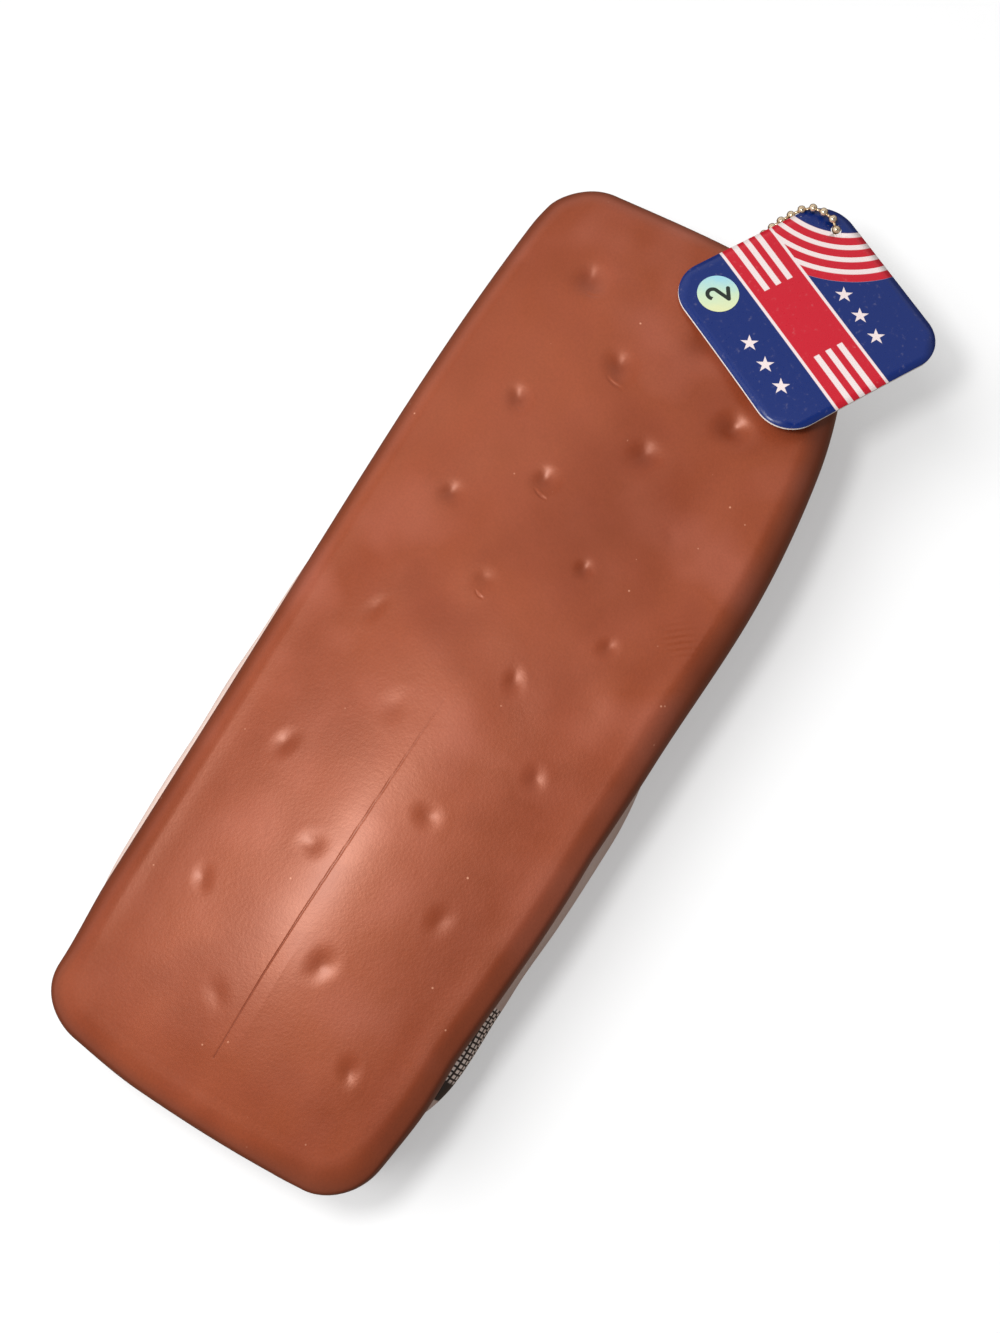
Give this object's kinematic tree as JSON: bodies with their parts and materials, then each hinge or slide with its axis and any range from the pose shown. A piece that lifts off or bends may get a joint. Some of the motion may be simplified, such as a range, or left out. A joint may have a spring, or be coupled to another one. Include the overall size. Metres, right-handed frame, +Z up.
{
  "type": "ice cream sandwich foam toy",
  "caption": "Large squeezable foam toy shaped as an ice cream sandwich: pricked brown wafers round a pale filling, with a square card tag on a ball chain.",
  "frame": {"origin": "middle of the flat face that the toy rests on, under the lower wafer", "axes": "+X along the sandwich towards the end with the tag, +Y across it, +Z up through the layers"},
  "size_m": [0.2919, 0.1189, 0.0537],
  "materials": {
    "wafer_foam": "satin",
    "filling_foam": "satin",
    "tag_card": "glossy print",
    "sticker_paper": "satin",
    "chain_steel": "polished"
  },
  "bodies": {
    "root": {"wafer_bottom": "wafer_foam", "filling": "filling_foam", "wafer_top": "wafer_foam", "tag": "tag_card", "tag_sticker": "sticker_paper", "ball_chain": "chain_steel"}
  },
  "joints": []
}
